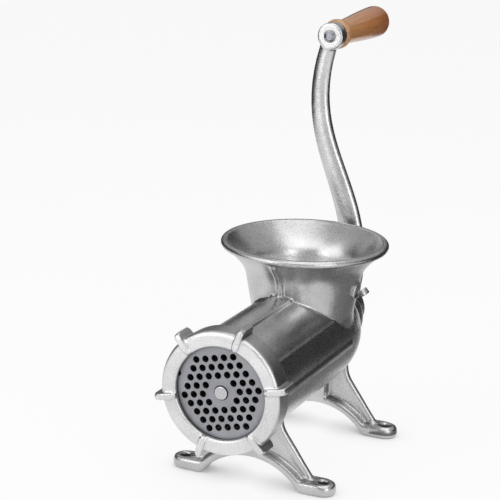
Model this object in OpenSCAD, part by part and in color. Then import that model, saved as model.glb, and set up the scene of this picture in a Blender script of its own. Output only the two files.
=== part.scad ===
// Hand cranked meat grinder: a cast body with hopper and legs, a feed screw,
// a cutting knife, a holed plate, a ring nut and a crank with a wooden grip.
// X points to the right seen from the outlet, Y to the crank, Z up.
// The origin is the middle of the four bolt holes, on the table.

/* [Feet and legs] */
// Bolt hole spacing, left to right
foot_span_x = 148; // [140:1:156]
// Bolt hole spacing, front to rear
foot_span_y = 169; // [162:1:176]
// Bolt hole diameter
foot_hole_d = 10; // [8:0.5:12]
// Width of each foot and of the strap between two feet
foot_w = 25; // [22:1:28]
// Thickness of each foot
foot_h = 12; // [10:1:14]
// Rounding of the upper edge of each foot
foot_round = 4; // [2:0.5:5]
// Free height under the strap at the middle
arch_h = 27; // [22:1:30]
// Half of the free width under the strap, on the table
arch_half = 52; // [48:1:54]
// Thickness of the strap
strap_t = 8; // [6:1:10]
// Width of the pillar between strap and barrel
pillar_w = 18; // [14:1:22]
// Thickness of the fin in each leg
fin_t = 6; // [5:0.5:8]
// Half width of the fin at its waist
fin_waist = 28.5; // [26:0.5:31]
// Height of the waist above the table
fin_waist_z = 70; // [66:1:74]
// Radius of the curve below the waist
fin_curve_r = 29; // [24:1:34]
// Angle that the curve turns through
fin_curve_deg = 38; // [30:1:44]
// Radius of the wide curve above the waist
fin_flare_r = 90; // [80:1:110]
// Height of the fin above its waist
fin_flare_h = 30; // [26:1:34]

/* [Barrel] */
// Height of the screw axis above the table
axis_h = 115; // [112:1:118]
// Wall of the barrel around the plate
seat_wall = 4.7; // [4:0.1:6]
// Step between the plate's seat and the bore
bore_step = 2; // [1.5:0.25:3]
// Front end of the barrel
barrel_front_y = -160; // [-161:0.5:-158]
// Where the barrel begins to close at the rear
shoulder_y = 30; // [26:1:34]
// Length over which the barrel closes
shoulder_len = 54; // [50:1:58]
// Inner face of the rear wall
rear_wall_y = 56; // [53:0.5:58]
// Outer radius of the rear boss
boss_r = 34.5; // [32:0.5:37]
// How far the rear boss reaches past the rim
boss_past_rim = 2.5; // [1:0.5:6]
// Width of the raised strip along the top
strip_w = 22; // [16:1:26]
// Height of the strip above the barrel
strip_h = 3; // [2:0.5:4]
// Front end of the strip
strip_front_y = -140; // [-141:1:-130]
// Width of the parting ledge along both sides
ledge_w = 4; // [3:0.5:6]
// Height of the ledge above the barrel
ledge_h = 1.2; // [0.8:0.2:2]
// Angle of the thin seam above the ledge
seam_deg = 32; // [25:1:40]
// Width of the seam
seam_w = 2; // [1.5:0.25:3]
// Height of the seam above the barrel
seam_h = 0.8; // [0.6:0.1:1.2]

/* [Hopper] */
// Distance of the hopper behind the middle of the feet
hopper_y = 25; // [20:1:28]
// Height of the rim above the table
rim_z = 217; // [210:1:225]
// Outer radius of the rim
rim_r = 84.5; // [82:0.5:88]
// Radius of the rounded lip
lip_r = 3.6; // [2.8:0.2:4]
// How far the neck stays inside the barrel's sides
neck_inset = 2.5; // [1.5:0.5:4]
// Height of the straight foot of the neck above the screw axis
neck_foot_h = 30; // [26:1:34]
// Outer radius of the neck below the bell
neck_top_r = 58; // [57:0.5:60]
// Height of the bell, from its start up to the rim
bell_h = 37; // [32:1:42]
// Spread of the bell's lower bend
bell_low_out = 2; // [1:0.5:3]
// Rise of that bend
bell_low_rise = 12; // [10:0.5:13]
// Spread of the bell's upper bend
bell_high_out = 8; // [6:0.5:10]
// Rise of that bend
bell_high_rise = 17; // [15:0.5:18]
// Inset of the bell's wall from the rim
bell_inset = 1.5; // [1:0.25:2]
// Wall of the neck and of the bell
hopper_wall = 5.5; // [4.5:0.5:6.5]
// How far the throat stays inside the bore's sides
throat_inset = 2; // [1.5:0.5:4]
// Height of the straight throat above the screw axis
throat_h = 42; // [38:1:46]
// Width of the rib down the front of the neck
neck_rib_w = 6.5; // [5:0.5:8]
// Height of that rib above the neck
neck_rib_h = 4; // [3:0.5:5]

/* [Ring nut] */
// How far the ring's face stands ahead of the barrel
ring_ahead = 8; // [7.5:0.5:9]
// Depth of the ring, front to rear
ring_depth = 24; // [22:1:26]
// Wall of the ring around the thread
ring_wall = 6; // [5:0.5:8]
// Width of the plate's edge that the ring covers
ring_cover = 4; // [3:0.5:5]
// Thickness of the lip that holds the plate
ring_lip = 5; // [4:0.5:6]
// Radial gap to the thread of the barrel
thread_gap = 0.4; // [0.3:0.05:0.6]
// Rounding of the front edge of the ring
ring_round = 4; // [2:0.5:5]
// Height of the lugs above the side of the ring
lug_h = 8.1; // [6:0.1:10]
// Width of each lug
lug_w = 6.5; // [5:0.5:9]
// Height of each lug above the front face
lug_front = 2.5; // [1.5:0.5:4]
// Rounding of the outer corner of each lug
lug_round = 7; // [4:0.5:7]
// Turn of the lugs
lug_turn = 12; // [0:1:30]
// Number of lugs
lug_count = 6; // [4:1:8]

/* [Plate and knife] */
// Radius of the holed plate
plate_r = 49; // [47.5:0.1:50.5]
// Thickness of the plate
plate_t = 10; // [8:0.5:11]
// Radial gap between plate and barrel
plate_gap = 0.3; // [0.3:0.05:0.5]
// Diameter of the plate holes
plate_hole_d = 6.7; // [5:0.1:7.5]
// Distance between neighbouring plate holes
plate_pitch = 9.6; // [9:0.1:9.8]
// Turn of the rows of holes
plate_turn = 13; // [0:1:30]
// Holes from the centre to a corner of the pattern
plate_rings = 4; // [3:1:4]
// Radius of the key in the barrel
key_r = 3; // [2.5:0.1:3.2]
// Length of the key
key_len = 16; // [14:1:18]
// Angle of the key round the axis
key_deg = 165; // [155:1:175]
// Depth of the key notch from the plate's edge
notch_depth = 5.8; // [5:0.1:6]
// Thickness of the knife
knife_t = 12; // [10:0.5:14]
// Radial gap between blades and bore
blade_gap = 2; // [1:0.5:4]
// Radius of the knife's hub
knife_hub_r = 16.5; // [16:0.5:18]
// Angle of the knife at rest
knife_deg = 20; // [0:5:45]
// Width of a blade at its tip
blade_w = 13; // [11:0.5:15]
// Slope of the back of each blade
blade_bevel = 55; // [45:1:65]
// Gap between knife and plate
knife_gap = 0.1; // [0.05:0.05:0.2]

/* [Feed screw] */
// Side of the square that drives the knife
stud_sq = 16; // [15:0.5:17]
// Radius of the pin through the plate
stud_pin_r = 6.5; // [6:0.1:7]
// Radial gap of the pin in the plate
pin_gap = 0.75; // [0.5:0.05:1]
// How far the pin stands out of the plate
pin_out = 1.5; // [0.5:0.5:2.5]
// Radius of the stud's root in the screw
stud_root_r = 8; // [7:0.5:9]
// Depth of the stud's root in the screw
stud_root_len = 30; // [24:1:36]
// Radial gap between flight and barrel
flight_gap = 0.7; // [0.5:0.1:1.2]
// Core radius at the front
core_front_r = 15; // [14:0.5:17]
// Core radius at the rear
core_rear_r = 20; // [19:0.5:22]
// Turns of the flight
flight_turns = 3.5; // [3:0.25:4]
// Thickness of the flight at its edge
flight_tip_t = 5; // [4:0.5:6]
// Thickness of the flight at its root
flight_root_t = 9; // [7:0.5:11]
// Share of even pitch: below 1 the pitch narrows to the front
pitch_even = 0.7; // [0.6:0.05:1]
// Radius of the collar behind the flight
collar_r = 29; // [27:0.5:31]
// Thickness of the collar
collar_t = 5; // [4:0.5:7]
// Thickness of the thrust washer
thrust_t = 3; // [2:0.5:4]
// Radius of the journal
journal_r = 15; // [14:0.5:16]
// Running gap of the journal in its bush
run_gap = 0.05; // [0.03:0.01:0.08]
// Wall of the bush
bush_wall = 4; // [3:0.5:5]

/* [Crank] */
// Square end that carries the crank
drive_sq = 18; // [17:0.5:19]
// Gap round each square fit
square_gap = 0.1; // [0.05:0.05:0.2]
// Gap between rear boss and crank
crank_gap = 2.5; // [1.5:0.5:4]
// Radius of the crank's hub
hub_r = 24; // [22:0.5:25]
// Length of the hub
hub_len = 28; // [26:1:30]
// Sideways offset of the grip
crank_top_x = -22; // [-30:1:-10]
// Height of the grip above the screw axis
crank_top_z = 291; // [275:1:310]
// Sideways bow of the lower half of the arm
bow_low = 44; // [30:1:50]
// Sideways bow of the upper half of the arm
bow_high = -66; // [-75:1:-45]
// Reach of the two bows along the arm
bow_reach = 129; // [100:1:135]
// Width of the arm at the hub
arm_w_low = 30; // [26:0.5:32]
// Width of the arm at the grip
arm_w_high = 17.5; // [17:0.5:20]
// Thickness of the arm
arm_t = 13.5; // [12:0.5:14]
// Roundness of the arm's section, 1 for an oval
arm_round = 0.85; // [0.7:0.05:1]
// Radius of the boss under the grip
top_boss_r = 14; // [12.5:0.5:14.5]
// Thickness of that boss
top_boss_t = 14; // [13.5:0.5:16]
// Radius of the washer under the wing screw
washer_r = 17; // [15:0.5:19]
// Thickness of that washer
washer_t = 2.5; // [2:0.5:4]
// Radius of the wing screw's shank
screw_r = 6; // [5:0.5:6]
// Length of the shank below the washer
screw_len = 26; // [22:1:28]
// Radius of the wing screw's head
screw_head_r = 10; // [9:0.5:12]
// Height of the head
screw_head_h = 14; // [12:0.5:16]
// Radius over the wings
wing_r = 28; // [26:1:34]
// Thickness of the wings
wing_t = 7; // [5:0.5:8]
// Angle of the wings round the axis
wing_deg = 40; // [0:5:90]

/* [Grip] */
// Length of the wooden grip
grip_len = 120; // [105:1:135]
// Radius of the bead next to the crank
bead_r = 15.5; // [14:0.5:17]
// Length of the bead
bead_len = 10; // [8:0.5:12]
// Radius of the waist behind the bead
grip_waist_r = 12; // [11:0.5:13]
// Largest radius of the grip
grip_r = 17; // [16:0.5:18]
// Length of the eased parts of its taper
grip_sweep = 34; // [25:1:40]
// Length of the rounded end
grip_end_len = 9; // [7:1:16]
// Radius of the grip's end face
grip_end_r = 11; // [10:0.5:12]
// Radius of the spindle
spindle_r = 5; // [4:0.5:6]
// Radius of the spindle's head
spindle_head_r = 8; // [7.5:0.5:8.5]
// Height of the spindle's head
spindle_head_h = 5; // [4:0.5:6]
// Height of the riveted end
rivet_h = 1.5; // [1:0.5:2.5]
// Thickness of the two grip washers
grip_washer_t = 1.5; // [1:0.5:2]
// Side play of the grip
grip_play = 0.3; // [0.2:0.1:0.5]

/* [Hidden] */
$fn = 96;
// How far a cut runs past the face that it opens
over = 1;
// Small bevel on turned edges
edge = 1;
// Room round a spindle or screw in its washer
washer_gap = 0.3;
// Gap between a fin's toe and the bolt hole
toe_gap = 5;
// How far a lug starts outside the ring's mouth
lug_inset = 3;
// How far a lug stops before the ring's rear face
lug_short = 1.5;
// Length of a lug's rear bevel
lug_rear_len = 4;
// Bevel of the ring's mouth
mouth_bevel = 1.5;
// Narrowing of a blade towards its tip
blade_taper = 3;
// Widening of a blade towards its root
blade_rake = 4;
// Width and inner end of a blade's ground bevel
bevel_w = 5;
bevel_gap = 2.5;
// How deep the flight is rooted in its core
flight_sink = 4;
// How far the driving square stops short of the hub's rear face
square_short = 2;
// Room behind the wing screw's end
hole_spare = 3;
// How far the arm stands behind the middle of its hub
arm_back = 3;
// Height of the wings' ends as a share of the head
wing_rise = 0.6;
// Spread of the riveted end
rivet_flare = 1.5;
foot_x = foot_span_x / 2;
foot_y = foot_span_y / 2;
foot_r = foot_w / 2;
arch_r = (arch_half * arch_half + arch_h * arch_h) / (2 * arch_h);
arch_cz = arch_h - arch_r;
fin_toe_x = foot_x - foot_hole_d / 2 - toe_gap;
fin_cx = fin_waist + fin_curve_r;
fin_flare_deg = asin(fin_flare_h / fin_flare_r);
ring_front_y = barrel_front_y - ring_ahead;
plate_front_y = ring_front_y + ring_lip;
plate_rear_y = plate_front_y + plate_t;
knife_front_y = plate_rear_y + knife_gap;
knife_rear_y = knife_front_y + knife_t;
screw_front_y = knife_rear_y + knife_gap;
seat_r = plate_r + plate_gap;
barrel_r = seat_r + seat_wall;
bore_r = plate_r - bore_step;
ring_r = barrel_r + thread_gap + ring_wall;
ring_open_r = plate_r - ring_cover;
lug_r = ring_r + lug_h;
lug_root_r = ring_open_r + lug_inset;
knife_r = bore_r - blade_gap;
neck_foot_r = barrel_r - neck_inset;
throat_r = bore_r - throat_inset;
boss_end_y = hopper_y + rim_r + boss_past_rim;
blade_root = knife_hub_r + bevel_gap;
notch_r = key_r + plate_gap;
notch_mid = plate_r - notch_depth + notch_r;
seat_end_y = screw_front_y + over;
thrust_y = rear_wall_y - thrust_t;
collar_y = thrust_y - collar_t;
flight_r = bore_r - flight_gap;
flight_half = flight_root_t / 2;
flight_len = collar_y - screw_front_y - flight_root_t;
flight_steps = 32;
flight_n = round(flight_turns * flight_steps);
bush_r = journal_r + run_gap + bush_wall;
hub_front_y = boss_end_y + crank_gap;
hub_rear_y = hub_front_y + hub_len;
arm_y = hub_front_y + hub_len / 2 + arm_back;
boss_front_y = arm_y - top_boss_t / 2;
boss_rear_y = arm_y + top_boss_t / 2;
grip_z = axis_h + crank_top_z;
grip_y = boss_rear_y + grip_washer_t + grip_play;
grip_end_y = grip_y + grip_len;
head_seat_y = grip_end_y - spindle_head_h - grip_washer_t;
head_room = spindle_head_r + 0.5;
wing_end_r = screw_head_h / 2;
wing_mid = wing_r - wing_end_r;
bell_z = rim_z - bell_h;
bell_top_r = rim_r - bell_inset;
arm_n = 28;
arm_sides = 20;

function bezier(p, t) =
    p[0] * pow(1 - t, 3)
    + p[1] * 3 * t * pow(1 - t, 2)
    + p[2] * 3 * t * t * (1 - t)
    + p[3] * pow(t, 3);
function curve(p, n) = [for (i = [0:n]) bezier(p, i / n)];

// Turns a solid that stands on the XY plane so that it lies along Y.
module along_y(y) {
    translate([0, y, axis_h])
        rotate([-90, 0, 0])
            children();
}

// Puts a plane outline upright, thick t along Y around y.
module upright(y, t) {
    translate([0, y, 0])
        rotate([90, 0, 0])
            linear_extrude(height = t, center = true)
                children();
}

bell_outer = curve([[neck_top_r, bell_z],
                    [neck_top_r + bell_low_out, bell_z + bell_low_rise],
                    [neck_top_r + bell_high_out, bell_z + bell_high_rise],
                    [bell_top_r, rim_z - lip_r]], 10);

module hopper_outline(out) {
    polygon(concat([[0, axis_h], [neck_foot_r + out, axis_h], [neck_foot_r + out, axis_h + neck_foot_h]],
                   [for (p = bell_outer) [p[0] + out, p[1] - out / 3]],
                   [[bell_top_r, rim_z], [0, rim_z]]));
}

module hopper_solid() {
    translate([0, hopper_y, 0]) {
        rotate_extrude() {
            intersection() {
                hopper_outline(0);
                square([bell_top_r - lip_r / 2, rim_z]);
            }
            translate([rim_r - lip_r, rim_z - lip_r])
                circle(lip_r);
        }
        intersection() {
            rotate_extrude()
                hopper_outline(neck_rib_h);
            translate([-neck_rib_w / 2, -rim_r + lip_r, axis_h])
                cube([neck_rib_w, rim_r - lip_r, rim_z - lip_r - axis_h]);
        }
    }
}

module hopper_hollow() {
    difference() {
        translate([0, hopper_y, 0])
            rotate_extrude()
                polygon(concat([[0, axis_h], [throat_r, axis_h], [throat_r, axis_h + throat_h]],
                               [for (p = bell_outer) [p[0] - hopper_wall, p[1] + hopper_wall / 2]],
                               [[bell_top_r - hopper_wall, rim_z + over], [0, rim_z + over]]));
        translate([-bore_r, rear_wall_y, axis_h - over])
            cube([2 * bore_r, throat_r, throat_h + over]);
    }
}

module barrel_solid() {
    along_y(0)
        rotate_extrude()
            polygon(concat([[0, barrel_front_y], [barrel_r - edge, barrel_front_y], [barrel_r, barrel_front_y + edge]],
                           [for (a = [0:10:90]) [boss_r + (barrel_r - boss_r) * cos(a),
                                                 shoulder_y + shoulder_len * sin(a)]],
                           [[boss_r, boss_end_y - 2 * edge], [boss_r - 2 * edge, boss_end_y], [0, boss_end_y]]));
    intersection() {
        along_y(strip_front_y)
            cylinder(r = barrel_r + strip_h, h = hopper_y - strip_front_y);
        translate([-strip_w / 2, strip_front_y, axis_h])
            cube([strip_w, hopper_y - strip_front_y, barrel_r + strip_h + over]);
    }
    for (s = [0, 1])
        mirror([s, 0, 0]) {
            translate([bore_r, strip_front_y, axis_h - ledge_w / 2])
                cube([barrel_r + ledge_h - bore_r, shoulder_y - strip_front_y, ledge_w]);
            along_y(strip_front_y)
                rotate([0, 0, -seam_deg])
                    translate([bore_r, -seam_w / 2, 0])
                        cube([barrel_r + seam_h - bore_r, seam_w, shoulder_y - strip_front_y - neck_top_r / 2]);
        }
}

module strap_outline() {
    difference() {
        union() {
            intersection() {
                translate([0, arch_cz])
                    circle(arch_r + strap_t);
                translate([-foot_x, 0])
                    square([foot_span_x, arch_h + strap_t]);
            }
            translate([-foot_x, 0])
                square([foot_span_x, foot_h]);
            translate([-pillar_w / 2, arch_h])
                square([pillar_w, axis_h - arch_h]);
        }
        translate([0, arch_cz])
            circle(arch_r);
    }
}

fin_edge = concat(
    [for (i = [6:-1:1]) [fin_waist + fin_flare_r * (1 - cos(i * fin_flare_deg / 6)),
                         fin_waist_z + fin_flare_r * sin(i * fin_flare_deg / 6)]],
    [for (i = [0:6]) [fin_cx - fin_curve_r * cos(i * fin_curve_deg / 6),
                      fin_waist_z - fin_curve_r * sin(i * fin_curve_deg / 6)]]);

module fin_outline() {
    difference() {
        for (s = [0, 1])
            mirror([s, 0])
                polygon(concat([[-over, fin_waist_z + fin_flare_h]], fin_edge,
                               [[fin_toe_x, foot_h], [fin_toe_x, foot_h / 2], [-over, foot_h / 2]]));
        translate([0, arch_cz])
            circle(arch_r);
    }
}

module foot_end() {
    rotate_extrude()
        polygon(concat([[0, 0], [foot_r - edge, 0], [foot_r, edge]],
                       [for (a = [0:15:90]) [foot_r - foot_round + foot_round * cos(a),
                                             foot_h - foot_round + foot_round * sin(a)]],
                       [[0, foot_h]]));
}

module leg_frames() {
    for (s = [-1, 1]) {
        upright(s * foot_y, foot_w)
            strap_outline();
        upright(s * foot_y, fin_t)
            fin_outline();
        for (t = [-1, 1])
            translate([t * foot_x, s * foot_y, 0])
                foot_end();
    }
}

module body_casting() {
    color("silver")
        difference() {
            union() {
                barrel_solid();
                hopper_solid();
                leg_frames();
            }
            hopper_hollow();
            along_y(barrel_front_y - over)
                cylinder(r = bore_r, h = rear_wall_y - barrel_front_y + over);
            along_y(barrel_front_y - over)
                cylinder(r = seat_r, h = seat_end_y - barrel_front_y + over);
            along_y(rear_wall_y - over)
                cylinder(r = bush_r, h = boss_end_y - rear_wall_y + 2 * over);
            along_y(barrel_front_y - over)
                rotate([0, 0, -key_deg])
                    translate([seat_r, 0, 0])
                        cylinder(r = key_r, h = key_len + over, $fn = 32);
            for (s = [-1, 1], t = [-1, 1])
                translate([s * foot_x, t * foot_y, -over])
                    cylinder(d = foot_hole_d, h = foot_h + 2 * over);
        }
}

module plate_key() {
    color("gainsboro")
        along_y(barrel_front_y)
            rotate([0, 0, -key_deg])
                translate([seat_r, 0, 0])
                    cylinder(r = key_r, h = key_len, $fn = 32);
}

module rear_bush() {
    color("goldenrod")
        along_y(rear_wall_y)
            difference() {
                cylinder(r = bush_r, h = boss_end_y - rear_wall_y);
                translate([0, 0, -over])
                    cylinder(r = journal_r + run_gap, h = boss_end_y - rear_wall_y + 2 * over);
            }
}

module thrust_washer() {
    color("peru")
        along_y(thrust_y)
            difference() {
                cylinder(r = collar_r - edge, h = thrust_t);
                translate([0, 0, -over])
                    cylinder(r = journal_r + washer_gap, h = thrust_t + 2 * over);
            }
}

module ring_nut() {
    color("silver")
        along_y(ring_front_y)
            difference() {
                union() {
                    rotate_extrude()
                        polygon(concat([[ring_open_r - over, 0]],
                                       [for (a = [0:15:90]) [ring_r - ring_round + ring_round * sin(a),
                                                             ring_round - ring_round * cos(a)]],
                                       [[ring_r, ring_depth - edge], [ring_r - edge, ring_depth],
                                        [ring_open_r - over, ring_depth]]));
                    for (i = [0:lug_count - 1])
                        rotate([0, 0, i * 360 / lug_count - lug_turn])
                            intersection() {
                                rotate_extrude()
                                    polygon(concat([[lug_root_r, over], [lug_root_r + 2 * edge, -lug_front]],
                                                   [for (a = [0:15:90]) [lug_r - lug_round + lug_round * sin(a),
                                                                         lug_round - lug_front - lug_round * cos(a)]],
                                                   [[lug_r, ring_depth - lug_rear_len], [lug_r - 3 * edge, ring_depth - lug_short],
                                                    [lug_root_r, ring_depth - lug_short]]));
                                translate([0, -lug_w / 2, -lug_front - over])
                                    cube([lug_r + over, lug_w, ring_depth + lug_front + 2 * over]);
                            }
                }
                translate([0, 0, ring_lip])
                    cylinder(r = barrel_r + thread_gap, h = ring_depth);
                translate([0, 0, -lug_front - over])
                    cylinder(r = ring_open_r, h = ring_lip + lug_front + 2 * over);
                cylinder(r1 = ring_open_r + mouth_bevel, r2 = ring_open_r - over, h = mouth_bevel + over);
            }
}

module perforated_plate() {
    color("lightsteelblue")
        along_y(plate_front_y)
            difference() {
                cylinder(r = plate_r, h = plate_t);
                for (i = [-plate_rings:plate_rings], j = [-plate_rings:plate_rings])
                    if (abs(i + j) <= plate_rings && max(abs(i), abs(j), abs(i + j)) > 1)
                        rotate([0, 0, -plate_turn])
                            translate([plate_pitch * (i + j / 2), plate_pitch * j * sin(60), -over])
                                cylinder(d = plate_hole_d, h = plate_t + 2 * over, $fn = 24);
                translate([0, 0, -over])
                    cylinder(r = stud_pin_r + pin_gap, h = plate_t + 2 * over);
                rotate([0, 0, -key_deg]) {
                    translate([notch_mid, 0, -over])
                        cylinder(r = notch_r, h = plate_t + 2 * over, $fn = 32);
                    translate([notch_mid, -notch_r, -over])
                        cube([plate_r, 2 * notch_r, plate_t + 2 * over]);
                }
            }
}

module blade_outline() {
    polygon([[blade_w / 2, -blade_w / 2], [knife_r, -blade_w / 2 + blade_taper], [knife_r - edge, blade_w / 2],
             [blade_w / 2, blade_w / 2 + blade_rake]]);
}

module knife() {
    color("lightgray")
        along_y(knife_front_y)
            difference() {
                linear_extrude(height = knife_t)
                    difference() {
                        union() {
                            circle(knife_hub_r);
                            for (a = [0:90:270])
                                rotate(a + knife_deg)
                                    blade_outline();
                        }
                        square(stud_sq + 2 * square_gap, center = true);
                    }
                for (a = [0:90:270])
                    rotate([0, 0, a + knife_deg])
                        translate([blade_root, blade_w / 2 - bevel_w, knife_t])
                            rotate([-blade_bevel, 0, 0])
                                cube([knife_r, 3 * blade_w, 2 * knife_t]);
            }
}

module knife_stud() {
    color("lightgray") {
        along_y(plate_front_y - pin_out)
            cylinder(r = stud_pin_r, h = screw_front_y - plate_front_y + pin_out);
        along_y((plate_rear_y + screw_front_y) / 2 + knife_gap)
            cube([stud_sq, stud_sq, screw_front_y - plate_rear_y - 2 * knife_gap], center = true);
        along_y(screw_front_y - over)
            cylinder(r = stud_root_r, h = stud_root_len + over);
    }
}

// Middle of the flight at share u of its length, front to rear.
function flight_at(u) = flight_half + flight_len * (pitch_even * u + (1 - pitch_even) * u * u);

flight_points = [for (k = [0:flight_n])
    let (u = k / flight_n, a = 360 * k / flight_steps, y = flight_at(u), h = core_front_r - flight_sink)
    for (p = [[h, -flight_half], [flight_r, -flight_tip_t / 2], [flight_r, flight_tip_t / 2], [h, flight_half]])
        [p[0] * cos(a), p[0] * sin(a), y + p[1]]];

flight_faces = concat(
    [[3, 2, 1, 0]],
    [for (k = [0:flight_n - 1], j = [0:3])
        let (a = 4 * k + j, b = 4 * k + (j + 1) % 4)
        [a, b, b + 4]],
    [for (k = [0:flight_n - 1], j = [0:3])
        let (a = 4 * k + j, b = 4 * k + (j + 1) % 4)
        [a, b + 4, a + 4]],
    [[4 * flight_n, 4 * flight_n + 1, 4 * flight_n + 2, 4 * flight_n + 3]]);

module auger() {
    color("silver")
        difference() {
            union() {
                along_y(screw_front_y)
                    cylinder(r1 = core_front_r, r2 = core_rear_r, h = collar_y - screw_front_y);
                along_y(screw_front_y)
                    polyhedron(points = flight_points, faces = flight_faces);
                along_y(collar_y)
                    cylinder(r = collar_r, h = collar_t);
                along_y(collar_y)
                    cylinder(r = journal_r, h = hub_front_y - collar_y);
                along_y((hub_front_y + hub_rear_y) / 2 - square_short)
                    cube([drive_sq, drive_sq, hub_len - square_short], center = true);
            }
            along_y(screw_front_y - over)
                cylinder(r = stud_root_r, h = stud_root_len + over);
            along_y(hub_rear_y - screw_len - hole_spare)
                cylinder(r = screw_r, h = screw_len + hole_spare);
        }
}

arm_path = [[0, 0], [bow_low, bow_reach], [bow_high, crank_top_z - bow_reach], [crank_top_x, crank_top_z]];
arm_line = curve(arm_path, arm_n);

// Direction of the arm at point i of its middle line.
function arm_dir(i) =
    let (a = arm_line[max(i - 1, 0)], b = arm_line[min(i + 1, arm_n)], d = b - a)
    d / norm(d);

arm_points = [for (i = [0:arm_n])
    let (c = arm_line[i], d = arm_dir(i), w = arm_w_low + (arm_w_high - arm_w_low) * i / arm_n)
    for (j = [0:arm_sides - 1])
        let (q = 360 * j / arm_sides, s = w / 2 * cos(q), y = arm_t / 2 * sign(sin(q)) * pow(abs(sin(q)), arm_round))
        [c[0] - s * d[1], arm_y + y, axis_h + c[1] + s * d[0]]];

arm_faces = concat(
    [[for (j = [arm_sides - 1:-1:0]) j]],
    [for (i = [0:arm_n - 1], j = [0:arm_sides - 1])
        let (a = arm_sides * i + j, b = arm_sides * i + (j + 1) % arm_sides)
        [a, b, b + arm_sides]],
    [for (i = [0:arm_n - 1], j = [0:arm_sides - 1])
        let (a = arm_sides * i + j, b = arm_sides * i + (j + 1) % arm_sides)
        [a, b + arm_sides, a + arm_sides]],
    [[for (j = [0:arm_sides - 1]) arm_sides * arm_n + j]]);

module at_grip(y) {
    translate([crank_top_x, 0, crank_top_z])
        along_y(y)
            children();
}

module crank_arm() {
    color("silver")
        difference() {
            union() {
                along_y(hub_front_y)
                    cylinder(r = hub_r, h = hub_len);
                polyhedron(points = arm_points, faces = arm_faces);
                at_grip(boss_front_y)
                    cylinder(r = top_boss_r, h = top_boss_t);
            }
            along_y((hub_front_y + hub_rear_y) / 2)
                cube([drive_sq + 2 * square_gap, drive_sq + 2 * square_gap, hub_len + 2 * over], center = true);
            at_grip(boss_front_y - over)
                cylinder(r = spindle_r, h = top_boss_t + 2 * over);
        }
}

module crank_washer() {
    color("lightgray")
        along_y(hub_rear_y)
            difference() {
                cylinder(r = washer_r, h = washer_t);
                translate([0, 0, -over])
                    cylinder(r = screw_r + washer_gap, h = washer_t + 2 * over);
            }
}

module wing_screw() {
    color("silver")
        along_y(hub_rear_y + washer_t) {
            translate([0, 0, -washer_t - screw_len])
                cylinder(r = screw_r - run_gap, h = screw_len + washer_t + over);
            cylinder(r = screw_head_r, h = screw_head_h);
            rotate([90, 0, -wing_deg])
                linear_extrude(height = wing_t, center = true) {
                    translate([-wing_mid, wing_end_r - edge])
                        square([2 * wing_mid, wing_end_r - edge]);
                    for (s = [-1, 1])
                        translate([s * wing_mid, wing_rise * screw_head_h])
                            circle(wing_end_r);
                }
        }
}

module grip_spindle() {
    color("lightgray") {
        at_grip(boss_front_y)
            cylinder(r = spindle_r, h = head_seat_y - boss_front_y + over);
        at_grip(boss_front_y - rivet_h)
            cylinder(r1 = spindle_r - rivet_flare, r2 = spindle_r + rivet_flare, h = rivet_h);
        at_grip(head_seat_y + grip_washer_t)
            cylinder(r = spindle_head_r, h = spindle_head_h);
        at_grip(head_seat_y)
            cylinder(r = spindle_r, h = grip_washer_t);
    }
}

module grip_washer() {
    color("lightgray")
        at_grip(boss_rear_y)
            difference() {
                cylinder(r = top_boss_r - edge, h = grip_washer_t);
                translate([0, 0, -over])
                    cylinder(r = spindle_r + washer_gap, h = grip_washer_t + 2 * over);
            }
}

module grip_end_washer() {
    color("lightgray")
        at_grip(head_seat_y)
            difference() {
                cylinder(r = spindle_head_r, h = grip_washer_t);
                translate([0, 0, -over])
                    cylinder(r = spindle_r + washer_gap, h = grip_washer_t + 2 * over);
            }
}

module grip() {
    color("sienna")
        at_grip(grip_y)
            difference() {
                rotate_extrude()
                    polygon(concat([[0, 0]],
                                   [for (a = [-60:15:60]) [bead_r - bead_len / 2 * (1 - cos(a)),
                                                           bead_len / 2 * (1 + sin(a) / sin(60))]],
                                   curve([[grip_waist_r, bead_len + 2],
                                          [grip_waist_r + 1.5, bead_len + grip_sweep],
                                          [grip_r - 0.5, grip_len - grip_end_len - grip_sweep],
                                          [grip_r, grip_len - grip_end_len]], 8),
                                   [for (a = [15:15:90]) [grip_end_r + (grip_r - grip_end_r) * cos(a),
                                                          grip_len - grip_end_len + grip_end_len * sin(a)]],
                                   [[0, grip_len]]));
                translate([0, 0, -over])
                    cylinder(r = spindle_r + run_gap, h = grip_len + 2 * over);
                translate([0, 0, head_seat_y - grip_y - grip_play])
                    cylinder(r = head_room, h = grip_len);
            }
}

body_casting();
plate_key();
rear_bush();
thrust_washer();
auger();
knife_stud();
knife();
perforated_plate();
ring_nut();
crank_arm();
crank_washer();
wing_screw();
grip_spindle();
grip_washer();
grip();
grip_end_washer();
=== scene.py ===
import math

import bmesh
import bpy
from mathutils import Matrix, Vector


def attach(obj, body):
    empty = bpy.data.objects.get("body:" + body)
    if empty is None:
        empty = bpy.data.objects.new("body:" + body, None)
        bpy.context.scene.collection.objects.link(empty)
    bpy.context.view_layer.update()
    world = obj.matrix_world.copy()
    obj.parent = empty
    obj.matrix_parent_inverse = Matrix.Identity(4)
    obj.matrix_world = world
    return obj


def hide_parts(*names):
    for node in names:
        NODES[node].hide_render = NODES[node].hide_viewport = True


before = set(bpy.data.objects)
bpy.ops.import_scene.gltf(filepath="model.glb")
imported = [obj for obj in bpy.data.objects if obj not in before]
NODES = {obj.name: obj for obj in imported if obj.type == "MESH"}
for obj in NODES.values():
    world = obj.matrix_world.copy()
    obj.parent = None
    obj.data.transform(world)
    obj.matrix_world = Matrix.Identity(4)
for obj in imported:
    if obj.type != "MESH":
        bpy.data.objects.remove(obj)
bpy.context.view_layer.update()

scene = bpy.context.scene
scene.view_settings.view_transform = "Standard"

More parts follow.
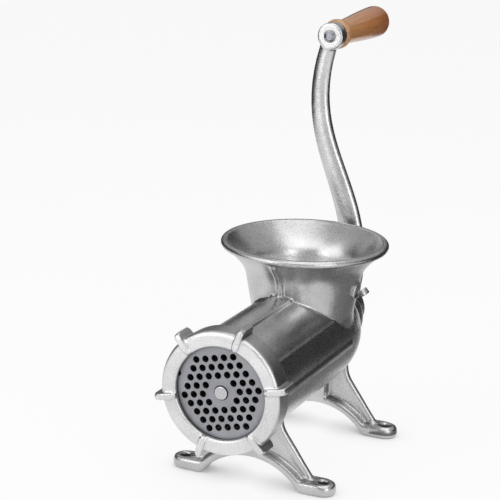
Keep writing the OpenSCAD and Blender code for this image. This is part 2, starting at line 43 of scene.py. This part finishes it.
# Sizes in metres, in the part's frame: X right, Y to the crank, Z up
AXIS_Z = 0.115
GRIP_X = -0.022
GRIP_Z = 0.406
GRIP_START_Y = 0.138
GRIP_LENGTH = 0.12
BARREL_R = 0.054
BARREL_FRONT_Y = -0.160
RING_PITCH = 0.004

# Levels between which a noise texture mostly runs
NOISE_LOW = 0.3
NOISE_HIGH = 0.7

WHITE = (1, 1, 1)

# Sockets of a Mix node that are for colours
MIX_INPUTS = (0, 6, 7)
MIX_OUTPUT = 2


class Nodes:
    """A node tree with short calls for what is used here."""

    def __init__(self, tree):
        self.tree = tree

    def feed(self, socket, value):
        """Link a socket to another one, or set its value."""
        if isinstance(value, bpy.types.NodeSocket):
            self.tree.links.new(value, socket)
        else:
            socket.default_value = value

    def node(self, kind, **inputs):
        """A new node, its inputs given by name or, as i0, i1 and so on, by place."""
        made = self.tree.nodes.new(kind)
        for key, value in inputs.items():
            by_place = key[0] == "i" and key[1:].isdigit()
            self.feed(made.inputs[int(key[1:]) if by_place else key], value)
        return made

    def math(self, kind, *values):
        made = self.tree.nodes.new("ShaderNodeMath")
        made.operation = kind
        for socket, value in zip(made.inputs, values):
            self.feed(socket, value)
        return made.outputs[0]


class Shader(Nodes):
    """A new material's nodes, in the coordinates of the object that wears it."""

    # Painted shade in corners: occlusion levels at which it is darkest and gone, and its samples
    CREASE_SHUT = 0.3
    CREASE_OPEN = 0.85
    CREASE_SAMPLES = 8
    SIDEWAYS_Y = -0.25
    FRONT_Y = -0.85

    def __init__(self, name):
        self.mat = bpy.data.materials.new(name)
        self.mat.use_nodes = True
        super().__init__(self.mat.node_tree)
        self.bsdf = self.tree.nodes["Principled BSDF"]
        place = self.tree.nodes.new("ShaderNodeTexCoord")
        self.coord = place.outputs["Object"]
        self.normal = place.outputs["Normal"]

    def scaled(self, x, y, z):
        return self.node("ShaderNodeMapping", Vector=self.coord, Scale=(x, y, z)).outputs["Vector"]

    def noise(self, scale, detail=3.0, vector=None, rough=0.55):
        made = self.node("ShaderNodeTexNoise", Vector=vector or self.coord, Scale=scale,
                         Detail=detail, Roughness=rough)
        return made.outputs["Fac"]

    def ramp(self, fac, stops):
        made = self.node("ShaderNodeValToRGB", Fac=fac)
        elements = made.color_ramp.elements
        while len(elements) < len(stops):
            elements.new(0.5)
        for element, (pos, colour) in zip(elements, stops):
            element.position = pos
            element.color = (*colour, 1)
        return made.outputs["Color"]

    def tones(self, fac, low, high):
        """Colours for the low and the high end of a noise."""
        return self.ramp(fac, [(NOISE_LOW, low), (NOISE_HIGH, high)])

    def span(self, fac, low, high, start=NOISE_LOW, end=NOISE_HIGH):
        """Map the run from start to end onto the run from low to high."""
        run = {"Value": fac, "From Min": start, "From Max": end, "To Min": low, "To Max": high}
        return self.node("ShaderNodeMapRange", **run).outputs["Result"]

    def mix(self, fac, a, b, kind="MIX"):
        made = self.tree.nodes.new("ShaderNodeMix")
        made.data_type = "RGBA"
        made.blend_type = kind
        for index, value in zip(MIX_INPUTS, (fac, a, b)):
            self.feed(made.inputs[index], value)
        return made.outputs[MIX_OUTPUT]

    def darken(self, share, colour, by):
        return self.mix(share, colour, by, "MULTIPLY")

    def crease_shade(self, reach, darkest, alone=True):
        """Painted shade: 1 on open surface, falling to the darkest share in corners, by ambient
        occlusion.
        """
        near = self.node("ShaderNodeAmbientOcclusion", Distance=reach)
        near.samples = self.CREASE_SAMPLES
        near.only_local = alone
        stops = [(self.CREASE_SHUT, (darkest,) * 3), (self.CREASE_OPEN, WHITE)]
        return self.ramp(near.outputs["AO"], stops)

    def facing_front(self):
        """1 where the surface faces the outlet, 0 where it faces sideways."""
        y = self.node("ShaderNodeSeparateXYZ", Vector=self.normal).outputs["Y"]
        return self.span(y, 0.0, 1.0, self.SIDEWAYS_Y, self.FRONT_Y)

    def bump(self, height, strength, distance, under=None):
        made = self.node("ShaderNodeBump", Height=height, Strength=strength, Distance=distance)
        if under is not None:
            self.feed(made.inputs["Normal"], under)
        return made.outputs["Normal"]

    def set(self, **sockets):
        for key, value in sockets.items():
            self.feed(self.bsdf.inputs[key.replace("_", " ")], value)
        return self.mat


# Tinned iron: scales per metre, depths and reaches in metres
TIN_WAVE_SCALE = 60.0
TIN_WAVE_STRENGTH = 0.25
TIN_WAVE_DEPTH = 0.0012
TIN_CLOUD_SCALE = 22.0
TIN_BLUE = 1.01
TIN_PEBBLE_DEPTH = 0.0005
TIN_SPECKS = [(0.34, (0.55, 0.55, 0.56)), (0.5, WHITE)]
TIN_SPECK_SHARE = 0.55
# Painted shade in hollows and corners: its reach, darkest share and strength
TIN_CREASE_SHADE_REACH = 0.010
TIN_CREASE_SHADE_DARKEST = 0.15
TIN_CREASE_SHADE_SHARE = 0.8


def tinned(name, dark, light, rough, grain, strength, side=1.0):
    """Tinned cast iron: bright metal over a finely pebbled casting, with painted shade in its
    hollows and corners.

    side below 1 paints shade on the faces that don't look to the outlet, so that the sides of the
    ring come out darker than its front."""
    s = Shader(name)
    pebble = s.noise(grain, 4.0, rough=0.6)
    waves = s.noise(TIN_WAVE_SCALE, 2.0)
    clouds = s.noise(TIN_CLOUD_SCALE)
    colour = s.tones(clouds, (dark,) * 3, (light, light, light * TIN_BLUE))
    colour = s.darken(TIN_SPECK_SHARE, colour, s.ramp(pebble, TIN_SPECKS))
    # Painted shade in hollows and corners
    colour = s.darken(TIN_CREASE_SHADE_SHARE, colour, s.crease_shade(TIN_CREASE_SHADE_REACH, TIN_CREASE_SHADE_DARKEST))
    # Painted shade on the faces turned away from the outlet
    if side < 1:
        painted_side_shade = s.darken(1.0, colour, (side, side, side, 1))
        colour = s.mix(s.facing_front(), painted_side_shade, colour)
    normal = s.bump(waves, TIN_WAVE_STRENGTH, TIN_WAVE_DEPTH)
    normal = s.bump(pebble, strength, TIN_PEBBLE_DEPTH, normal)
    return s.set(Base_Color=colour, Metallic=1.0, Roughness=s.span(pebble, *rough), Normal=normal)


# Turned steel: scales per metre, depths and reaches in metres
STEEL_FINE_SCALE = 500.0
STEEL_CLOUD_SCALE = 45.0
STEEL_CLOUD_SHADE = 0.8
STEEL_BAND_SCALE = 700.0
STEEL_BANDS = [(0.35, (0.72, 0.72, 0.74)), (0.6, WHITE)]
STEEL_BAND_SHARE = 0.6
STEEL_MARK_SHARE = 0.3
STEEL_BUMP = 0.12
STEEL_DEPTH = 0.0003
# Painted shade in corners and next to other pieces: its reach, darkest share and strength
STEEL_CREASE_SHADE_REACH = 0.005
STEEL_CREASE_SHADE_DARKEST = 0.02
STEEL_CREASE_SHADE_SHARE = 0.9


def turned(name, base, rough, centre, rings):
    """Machined steel with turning marks, and uneven bands, round the axis point (x, z); painted
    shade darkens its corners and the places next to other pieces.
    """
    s = Shader(name)
    from_axis = (-centre[0], 0, -centre[1])
    place = s.node("ShaderNodeMapping", Vector=s.coord, Location=from_axis).outputs["Vector"]
    flat = s.node("ShaderNodeVectorMath", i0=place, i1=(1, 0, 1))
    flat.operation = "MULTIPLY"
    length = s.node("ShaderNodeVectorMath", i0=flat.outputs["Vector"])
    length.operation = "LENGTH"
    radius = length.outputs["Value"]
    marks = s.math("SINE", s.math("MULTIPLY", radius, rings))
    fine = s.noise(STEEL_FINE_SCALE)
    height = s.math("ADD", s.math("MULTIPLY", marks, STEEL_MARK_SHARE), fine)
    shade = tuple(c * STEEL_CLOUD_SHADE for c in base)
    colour = s.tones(s.noise(STEEL_CLOUD_SCALE, 4.0), shade, base)
    outwards = s.node("ShaderNodeCombineXYZ", X=radius).outputs["Vector"]
    bands = s.ramp(s.noise(STEEL_BAND_SCALE, vector=outwards), STEEL_BANDS)
    colour = s.darken(STEEL_BAND_SHARE, colour, bands)
    # Painted shade in corners and next to other pieces, such as round the pin and inside the plate's
    # holes
    corners = s.crease_shade(STEEL_CREASE_SHADE_REACH, STEEL_CREASE_SHADE_DARKEST, alone=False)
    colour = s.darken(STEEL_CREASE_SHADE_SHARE, colour, corners)
    return s.set(Base_Color=colour, Metallic=1.0, Roughness=s.span(fine, *rough),
                 Normal=s.bump(height, STEEL_BUMP, STEEL_DEPTH))


# Varnished wood: scales per metre, depths in metres, tones from the boss to the free end
WOOD_STRETCH = 0.09
WOOD_GRAIN_SCALE = 420.0
WOOD_BAND_SCALE = 75.0
WOOD_TONES = [(0.0, (0.62, 0.36, 0.18)), (0.12, (0.60, 0.30, 0.12)),
              (0.55, (0.54, 0.23, 0.08)), (1.0, (0.40, 0.13, 0.042))]
WOOD_STREAKS = [(0.3, (0.58, 0.46, 0.38)), (0.62, WHITE)]
WOOD_STREAK_SHARE = 0.6
WOOD_PATCH_LOW = (0.75, 0.68, 0.6)
WOOD_PATCH_HIGH = (1.08, 1.04, 1.0)
WOOD_PATCH_SHARE = 0.7
WOOD_ROUGH = (0.28, 0.42)
WOOD_BUMP = 0.12
WOOD_DEPTH = 0.0004


def varnished_wood():
    """Turned beech under varnish, redder towards the free end."""
    s = Shader("varnished_wood")
    stretched = s.scaled(1.0, WOOD_STRETCH, 1.0)
    grain = s.noise(WOOD_GRAIN_SCALE, 6.0, stretched, 0.65)
    bands = s.noise(WOOD_BAND_SCALE, 2.0, stretched)
    y = s.node("ShaderNodeSeparateXYZ", Vector=s.coord).outputs["Y"]
    lengthwise = s.math("DIVIDE", s.math("SUBTRACT", y, GRIP_START_Y), GRIP_LENGTH)
    colour = s.ramp(lengthwise, WOOD_TONES)
    colour = s.darken(WOOD_STREAK_SHARE, colour, s.ramp(grain, WOOD_STREAKS))
    colour = s.darken(WOOD_PATCH_SHARE, colour, s.tones(bands, WOOD_PATCH_LOW, WOOD_PATCH_HIGH))
    return s.set(Base_Color=colour, Roughness=s.span(grain, *WOOD_ROUGH), Coat_Weight=0.6,
                 Coat_Roughness=0.08, Normal=s.bump(grain, WOOD_BUMP, WOOD_DEPTH))


PLAIN_BUMP = 0.2
PLAIN_DEPTH = 0.0003


def plain(name, low, high, rough, metal, scale):
    """A fine grained solid: pressed fibre or bored bronze."""
    s = Shader(name)
    fine = s.noise(scale, 5.0)
    return s.set(Base_Color=s.tones(fine, low, high), Metallic=metal,
                 Roughness=s.span(fine, *rough), Normal=s.bump(fine, PLAIN_BUMP, PLAIN_DEPTH))


SCREW_AXIS = (0.0, AXIS_Z)
GRIP_AXIS = (GRIP_X, GRIP_Z)

CAST = tinned("tinned_casting", 0.50, 0.66, (0.22, 0.36), 950.0, 0.20)
# The ring's sides carry painted shade at 0.65 of its front's colour
RING = tinned("tinned_ring", 0.68, 0.86, (0.24, 0.42), 1300.0, 0.30, 0.65)
CRANK = tinned("tinned_crank", 0.56, 0.72, (0.20, 0.34), 800.0, 0.24)
PLATE = turned("ground_plate", (0.39, 0.395, 0.42), (0.30, 0.46), SCREW_AXIS, 9000.0)
# The knife is painted near black so that the plate's holes show as shade
KNIFE_HOLE_SHADE = turned("knife_steel_hole_shade", (0.10, 0.10, 0.11), (0.3, 0.5), SCREW_AXIS, 6000.0)
STEEL = turned("turned_steel", (0.70, 0.70, 0.72), (0.16, 0.3), SCREW_AXIS, 7000.0)
SPINDLE = turned("spindle_steel", (0.36, 0.37, 0.40), (0.22, 0.36), GRIP_AXIS, 7000.0)
BRONZE = plain("bored_bronze", (0.45, 0.28, 0.12), (0.68, 0.46, 0.22), (0.25, 0.4), 1.0, 700.0)
FIBRE = plain("pressed_fibre", (0.16, 0.06, 0.035), (0.30, 0.12, 0.07), (0.5, 0.7), 0.0, 900.0)
WOOD = varnished_wood()

FINISH = {"body_casting": CAST, "plate_key": STEEL, "rear_bush": BRONZE, "thrust_washer": FIBRE,
          "auger": CAST, "knife_stud": STEEL, "knife": KNIFE_HOLE_SHADE, "perforated_plate": PLATE,
          "ring_nut": RING, "crank_arm": CRANK, "crank_washer": STEEL, "wing_screw": CRANK,
          "grip_spindle": SPINDLE, "grip_washer": SPINDLE, "grip": WOOD,
          "grip_end_washer": SPINDLE}
for name, material in FINISH.items():
    NODES[name].data.materials.clear()
    NODES[name].data.materials.append(material)

# Cast pieces: copies of CAD nodes with moulded edges
BAR_SEGMENTS = 24
BAR_END_RINGS = 12
SMOOTH_FACTOR = 0.5


def add_bars(mesh, bars):
    """Put round ended bars, each (start, end, radius), into a mesh."""
    made_of = bmesh.new()
    for start, end, radius in bars:
        along = end - start
        turn = along.to_track_quat("Z", "Y").to_matrix().to_4x4()
        bmesh.ops.create_cone(made_of, cap_ends=True, segments=BAR_SEGMENTS, radius1=radius,
                              radius2=radius, depth=along.length,
                              matrix=Matrix.Translation((start + end) / 2) @ turn)
        for tip in (start, end):
            bmesh.ops.create_uvsphere(made_of, u_segments=BAR_SEGMENTS, v_segments=BAR_END_RINGS,
                                      radius=radius, matrix=Matrix.Translation(tip))
    made_of.from_mesh(mesh)
    made_of.to_mesh(mesh)
    made_of.free()


def add_smooth(thing, name, passes):
    smooth = thing.modifiers.new(name, "SMOOTH")
    smooth.factor = SMOOTH_FACTOR
    smooth.iterations = passes
    return smooth


def settle(thing):
    """Turn a thing's modifiers into its mesh."""
    bpy.context.view_layer.update()
    graph = bpy.context.evaluated_depsgraph_get()
    mesh = bpy.data.meshes.new_from_object(thing.evaluated_get(graph))
    thing.modifiers.clear()
    thing.data = mesh


def round_further(thing, weight_at, passes):
    """Smooth a mesh once more, by the weight of each of its points."""
    group = thing.vertex_groups.new(name="low")
    levels = {}
    for vertex in thing.data.vertices:
        levels.setdefault(round(weight_at(vertex.co), 1), []).append(vertex.index)
    for weight, indices in levels.items():
        group.add(indices, weight, "REPLACE")
    add_smooth(thing, "low_fillet", passes).vertex_group = group.name
    settle(thing)


def soften(node, body, voxel, passes, bars=(), weight_at=None, weighted_passes=0):
    """A copy of a cast node with the rounded edges and fillets that a mould leaves."""
    copy = bpy.data.objects.new(node + "_cast", NODES[node].data.copy())
    scene.collection.objects.link(copy)
    add_bars(copy.data, bars)
    remesh = copy.modifiers.new("skin", "REMESH")
    remesh.mode = "VOXEL"
    remesh.voxel_size = voxel
    add_smooth(copy, "fillet", passes)
    settle(copy)
    if weight_at:
        round_further(copy, weight_at, weighted_passes)
    copy.data.materials.clear()
    copy.data.materials.append(FINISH[node])
    copy.data.shade_smooth()
    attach(copy, body)
    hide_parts(node)


# Rounded crests on the ring's lugs, from its mouth outwards
LUG_COUNT = 6
LUG_TURN_DEG = 12
LUG_INNER = 0.0484
LUG_OUTER = 0.0650
LUG_CREST_R = 0.0032
LUG_MIDDLE = Vector((0, BARREL_FRONT_Y - 0.0073, AXIS_Z))


def lug_crest(index):
    angle = math.radians(LUG_TURN_DEG + 360 / LUG_COUNT * index)
    outward = Vector((math.cos(angle), 0, math.sin(angle)))
    return LUG_MIDDLE + outward * LUG_INNER, LUG_MIDDLE + outward * LUG_OUTER, LUG_CREST_R


# Beads along the fins: an arc down from the waist, then straight to the toe
FOOT_X = 0.074
FOOT_Y = 0.0845
FOOT_H = 0.012
TOE_X = 0.0640
FIN_CURVE_X = 0.0575
FIN_CURVE_Z = 0.070
FIN_CURVE_R = 0.029
FIN_CURVE_DEG = 38
BEAD_ARC_STEPS = 6
BEAD_INSET = 0.003
BEAD_R = 0.0042


def bead_points():
    """The (x, z) points of a bead, inset from the fin's edge."""
    radius = FIN_CURVE_R + BEAD_INSET
    points = []
    for step in range(BEAD_ARC_STEPS + 1):
        bend = math.radians(FIN_CURVE_DEG * step / BEAD_ARC_STEPS)
        points.append((FIN_CURVE_X - radius * math.cos(bend), FIN_CURVE_Z - radius * math.sin(bend)))
    toe = (TOE_X - BEAD_INSET * math.cos(bend), FOOT_H - BEAD_INSET * math.sin(bend))
    return points + [toe]


def fin_beads():
    """Bars along the edges of the four fins."""
    points = bead_points()
    bars = []
    for side in (-1, 1):
        for end in (-1, 1):
            line = [Vector((side * x, end * FOOT_Y, z)) for x, z in points]
            bars += [(start, stop, BEAD_R) for start, stop in zip(line, line[1:])]
    return bars


FOOT_FADE_Z = 0.040
FOOT_FADE = 0.012
HOLE_KEEP_R = 0.008
HOLE_FADE = 0.003


def foot_weight(point):
    """1 on the feet and the ends of the straps, 0 above them and round the bolt holes."""
    hole = math.hypot(abs(point.x) - FOOT_X, abs(point.y) - FOOT_Y)
    low = min(1, max(0, (FOOT_FADE_Z - point.z) / FOOT_FADE))
    clear = min(1, max(0, (hole - HOLE_KEEP_R) / HOLE_FADE))
    return low * clear


soften("body_casting", "stand", 0.0011, 18, fin_beads(), foot_weight, 24)
soften("crank_arm", "drive", 0.0009, 9)
soften("ring_nut", "ring", 0.0008, 9, [lug_crest(i) for i in range(LUG_COUNT)])
soften("knife_stud", "drive", 0.0005, 5)
soften("wing_screw", "wing_screw", 0.0008, 6)


def finish_piece(name, data, body, matrix=None):
    """Put a piece's mesh or curve in the scene, on its body."""
    made = bpy.data.objects.new(name, data)
    scene.collection.objects.link(made)
    if matrix is not None:
        made.matrix_world = matrix
    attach(made, body)


# Small bare disc on the neck
DISC_STEPS = 48
DISC_AT = (0.0563, 0.025, 0.172)
DISC_TILT_DEG = 100
DISC_PROFILE = [(0.0088, -0.0015), (0.0088, 0.0016), (0.0084, 0.0022), (0.0074, 0.0025),
                (0.0066, 0.0022), (0.0060, 0.0014), (0.0050, 0.0012), (0.0010, 0.0016)]


def neck_disc(name, body):
    """A smooth solid turned from the profile's (radius, height) points round its own Z axis."""
    mesh = bpy.data.meshes.new(name)
    made_of = bmesh.new()
    angles = [2 * math.pi * i / DISC_STEPS for i in range(DISC_STEPS)]
    rings = [[made_of.verts.new((r * math.cos(a), r * math.sin(a), h)) for a in angles]
             for r, h in DISC_PROFILE]
    for low, high in zip(rings, rings[1:]):
        for i in range(DISC_STEPS):
            j = (i + 1) % DISC_STEPS
            made_of.faces.new((low[i], low[j], high[j], high[i]))
    made_of.faces.new(rings[0][::-1])
    made_of.faces.new(rings[-1])
    made_of.to_mesh(mesh)
    made_of.free()
    mesh.shade_smooth()
    mesh.materials.append(CAST)
    tilt = Matrix.Rotation(math.radians(DISC_TILT_DEG), 4, "Y")
    finish_piece(name, mesh, body, Matrix.Translation(DISC_AT) @ tilt)


# Thread on the barrel's front, under the ring
THREAD_AXIS_R = BARREL_R - 0.0006
THREAD_START_Y = BARREL_FRONT_Y + 0.0015
THREAD_END_Y = BARREL_FRONT_Y + 0.0145
THREAD_RIDGE_R = 0.0009
THREAD_STEPS_A_TURN = 60


def barrel_thread(name, body):
    """A helical ridge round the screw axis."""
    curve = bpy.data.curves.new(name, "CURVE")
    curve.dimensions = "3D"
    curve.bevel_depth = THREAD_RIDGE_R
    curve.bevel_resolution = 2
    run = THREAD_END_Y - THREAD_START_Y
    turns = run / RING_PITCH
    steps = int(turns * THREAD_STEPS_A_TURN)
    line = curve.splines.new("POLY")
    line.points.add(steps)
    for i, point in enumerate(line.points):
        angle = -2 * math.pi * turns * i / steps
        point.co = (THREAD_AXIS_R * math.cos(angle), THREAD_START_Y + run * i / steps,
                    AXIS_Z + THREAD_AXIS_R * math.sin(angle), 1)
    curve.materials.append(CAST)
    finish_piece(name, curve, body)


neck_disc("neck_disc", "stand")
barrel_thread("barrel_thread", "stand")

# Stage: a pale floor, and panels that are there only for the metal to reflect
STAGE_ROUGH = 0.9
FLOOR_SIZE = (30, 30)
FLOOR_WHITE_SHARE = 0.90
# How far from objects the floor's painted shade reaches
FLOOR_CONTACT_SHADE = 0.03
MIDDLE = (0, -0.02, 0.15)


def matt(name, scale, low, high):
    """A matt grey between two levels."""
    s = Shader(name)
    s.set(Base_Color=s.tones(s.noise(scale), (low,) * 3, (high,) * 3), Roughness=STAGE_ROUGH)
    return s


def whiten_seen(s, share, contact):
    """Camera, glossy and transmitted rays see a share of plain white over the lit floor. The share
    falls near objects by ambient occlusion, a painted shade round and under them.
    """
    path = s.node("ShaderNodeLightPath").outputs
    bounced = s.math("MAXIMUM", path["Is Glossy Ray"], path["Is Transmission Ray"])
    seen = s.math("MAXIMUM", path["Is Camera Ray"], bounced)
    # Painted shade: less white near objects
    near = s.node("ShaderNodeAmbientOcclusion", Distance=contact)
    white = s.math("MULTIPLY", seen, s.math("MULTIPLY", near.outputs["AO"], share))
    glow = s.node("ShaderNodeEmission", Strength=1.0)
    mixer = s.node("ShaderNodeMixShader", i0=white, i1=s.bsdf.outputs[0], i2=glow.outputs[0])
    s.feed(s.tree.nodes["Material Output"].inputs["Surface"], mixer.outputs[0])


def aim(thing, at, look, axis):
    """Place a thing with one of its axes towards a point."""
    thing.location = at
    thing.rotation_euler = (Vector(look) - Vector(at)).to_track_quat(axis, "Y").to_euler()


def panel(name, size, at, look, material):
    """A flat stage panel facing a point."""
    mesh = bpy.data.meshes.new(name)
    w, h = size[0] / 2, size[1] / 2
    mesh.from_pydata([(-w, -h, 0), (w, -h, 0), (w, h, 0), (-w, h, 0)], [], [(0, 1, 2, 3)])
    mesh.materials.append(material)
    made = bpy.data.objects.new(name, mesh)
    scene.collection.objects.link(made)
    aim(made, at, look, "Z")
    return made


def reflected_panel(name, size, at, look, material):
    """A panel that shows only in reflections."""
    made = panel(name, size, at, look, material)
    made.visible_camera = False
    made.visible_diffuse = False
    made.visible_shadow = False


def area(name, size, at, look, power):
    lamp = bpy.data.lights.new(name, "AREA")
    lamp.shape = "RECTANGLE"
    lamp.size, lamp.size_y = size
    lamp.energy = power
    made = bpy.data.objects.new(name, lamp)
    scene.collection.objects.link(made)
    aim(made, at, look, "-Z")


floor_shader = matt("pale_floor", 3.0, 0.93, 0.95)
whiten_seen(floor_shader, FLOOR_WHITE_SHARE, FLOOR_CONTACT_SHADE)
panel("floor", FLOOR_SIZE, (0, 0, 0), (0, 0, 1), floor_shader.mat)

flag_shader = matt("dark_flag", 2.0, 0.02, 0.035)
card_shader = matt("grey_card", 2.0, 0.26, 0.30)
for name, size, at in (("flag_rear", (1.9, 0.85), (0.45, 1.6, 0.50)),
                       ("flag_right", (1.3, 0.8), (1.5, 0.7, 0.42)),
                       ("flag_left", (0.7, 1.2), (-1.6, 0.2, 0.60)),
                       ("flag_low", (1.3, 0.3), (0.45, 0.8, 0.14)),
                       ("flag_near", (0.5, 0.16), (0.34, 0.36, 0.08)),
                       ("flag_back_left", (0.9, 0.6), (-0.75, 1.0, 0.30)),
                       ("flag_left_low", (1.6, 0.5), (-0.9, 0.1, 0.24))):
    reflected_panel(name, size, at, MIDDLE, flag_shader.mat)
reflected_panel("grey_card", (0.52, 0.60), (0.32, 0.29, 0.004), (0.32, 0.29, 1), card_shader.mat)

for name, size, at, power in (("key", (2.0, 1.4), (0.5, -0.8, 1.9), 11),
                              ("left_soft", (1.8, 1.8), (-1.3, -1.4, 1.3), 12),
                              ("right_strip", (0.8, 1.5), (1.6, -1.25, 0.65), 8),
                              ("left_strip", (0.3, 1.5), (-0.78, -1.85, 0.5), 4),
                              ("top", (1.0, 0.6), (0.0, 0.5, 1.9), 5)):
    area(name, size, at, MIDDLE, power)

# World: white where it is seen, dimmer where it lights, a little less dim in reflections
WORLD_LIGHT = 0.38
WORLD_GLOSSY_MORE = 0.12

world = bpy.data.worlds.new("studio")
scene.world = world
world.use_nodes = True
sky = Nodes(world.node_tree)
sky_path = sky.node("ShaderNodeLightPath").outputs
direct = sky.math("MAXIMUM", sky_path["Is Camera Ray"], sky_path["Is Transmission Ray"])
lighting = sky.math("MULTIPLY_ADD", sky_path["Is Glossy Ray"], WORLD_GLOSSY_MORE, WORLD_LIGHT)
background = sky.tree.nodes["Background"]
sky.feed(background.inputs["Strength"], sky.math("MAXIMUM", direct, lighting))
sky.feed(background.inputs["Color"], (*WHITE, 1))

# Camera, fitted to the photograph
PHOTO_PX = 500
FOCAL_PX = 1733.86
SENSOR_MM = 36.0
CAMERA_AT = Vector((0.639717, -1.521456, 0.675677))
RIGHT = Vector((0.907570, 0.419027, 0.027078))
UP = Vector((-0.137427, 0.235482, 0.962113))

cam = bpy.data.cameras.new("camera")
cam.sensor_width = SENSOR_MM
cam.lens = FOCAL_PX / PHOTO_PX * SENSOR_MM
camera = bpy.data.objects.new("camera", cam)
scene.collection.objects.link(camera)
camera.matrix_world = Matrix((RIGHT, UP, RIGHT.cross(UP))).transposed().to_4x4()
camera.location = CAMERA_AT
scene.camera = camera
